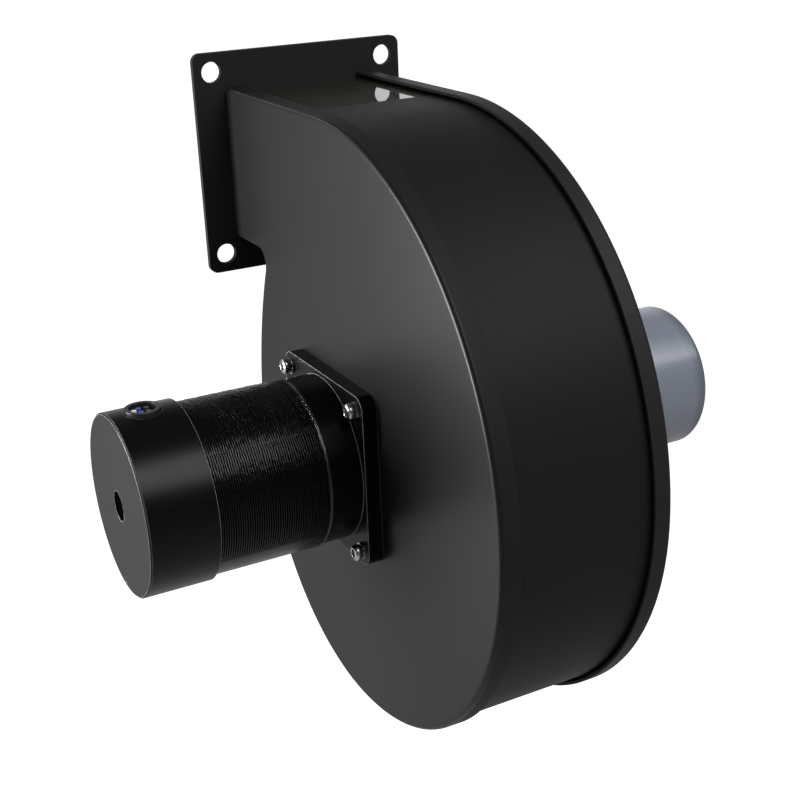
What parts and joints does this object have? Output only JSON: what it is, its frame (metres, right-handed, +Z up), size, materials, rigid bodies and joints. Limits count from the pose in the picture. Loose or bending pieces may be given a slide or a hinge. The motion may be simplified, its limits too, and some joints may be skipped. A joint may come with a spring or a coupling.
{
  "type": "dc blower fan",
  "caption": "Black sheet-metal centrifugal blower with a snail-shaped scroll, a flanged rectangular outlet, a round brushless motor on one side and an inlet pipe on the other.",
  "frame": {"origin": "centre of the outlet flange's outer face, where the blower is bolted on", "axes": "-X out of the outlet flange, +Y along the shaft from the motor to the inlet pipe, +Z up"},
  "size_m": [0.1769, 0.204, 0.2067],
  "materials": {
    "housing_paint": "semi-gloss black paint on sheet steel",
    "flange_paint": "satin black paint",
    "motor_paint": "satin black paint",
    "stack_paint": "satin black, fine ridges",
    "bright_steel": "bright",
    "zinc_steel": "zinc plated",
    "core_steel": "plain steel",
    "impeller_aluminium": "mill finish",
    "pipe_plastic": "satin blue-grey",
    "grommet_plastic": "satin grey",
    "gasket_rubber": "matte",
    "insulator_plastic": "natural",
    "coil_copper": "enamelled copper wire",
    "board_green": "solder mask",
    "sensor_plastic": "moulded",
    "magnet_ferrite": "ground ferrite",
    "cage_brass": "pressed",
    "blue_insulation": "wire insulation",
    "white_insulation": "wire insulation",
    "dark_insulation": "wire insulation"
  },
  "bodies": {
    "housing": {"front_cover": "housing_paint", "scroll_band": "housing_paint", "rear_cover": "housing_paint", "outlet_flange": "flange_paint", "motor_doubler": "zinc_steel", "motor_bell": "motor_paint", "bell_ring": "bright_steel", "stator_stack": "stack_paint", "slot_insulators": "insulator_plastic", "stator_coils": "coil_copper", "rear_cap": "motor_paint", "tie_screws": "zinc_steel", "mount_screws": "bright_steel", "mount_washers": "bright_steel", "mount_nuts": "zinc_steel", "sensor_board": "board_green", "hall_sensors": "sensor_plastic", "cable_grommet": "grommet_plastic", "lead_blue": "blue_insulation", "lead_white": "white_insulation", "lead_dark": "dark_insulation", "bearing_outer_rings": "bright_steel", "bearing_shields": "zinc_steel", "wave_washer": "core_steel", "inlet_cone": "zinc_steel", "inlet_gasket": "gasket_rubber", "inlet_pipe": "pipe_plastic", "inlet_screws": "bright_steel", "inlet_nuts": "zinc_steel"},
    "rotor": {"shaft": "bright_steel", "retaining_rings": "core_steel", "rotor_core": "core_steel", "rotor_magnets": "magnet_ferrite", "bearing_inner_rings": "bright_steel", "impeller_hub": "impeller_aluminium", "hub_set_screw": "core_steel", "hub_rivets": "impeller_aluminium", "impeller_back_plate": "impeller_aluminium", "impeller_blades": "impeller_aluminium", "impeller_shroud": "impeller_aluminium"},
    "front_cage": {"front_bearing_balls": "bright_steel", "front_bearing_cage": "cage_brass"},
    "rear_cage": {"rear_bearing_balls": "bright_steel", "rear_bearing_cage": "cage_brass"}
  },
  "joints": [
    {"name": "rotor_spin", "type": "hinge", "parent": "housing", "child": "rotor", "pos_m": [0.079, -0.028, -0.0809], "axis": [0, -1, 0], "continuous": true},
    {"name": "front_cage_spin", "type": "hinge", "parent": "housing", "child": "front_cage", "pos_m": [0.079, -0.0325, -0.0809], "axis": [0, -1, 0], "continuous": true},
    {"name": "rear_cage_spin", "type": "hinge", "parent": "housing", "child": "rear_cage", "pos_m": [0.079, -0.0915, -0.0809], "axis": [0, -1, 0], "continuous": true}
  ],
  "couplings": [
    {"joint": "front_cage_spin", "follows": "rotor_spin", "ratio": 0.368},
    {"joint": "rear_cage_spin", "follows": "rotor_spin", "ratio": 0.368}
  ]
}
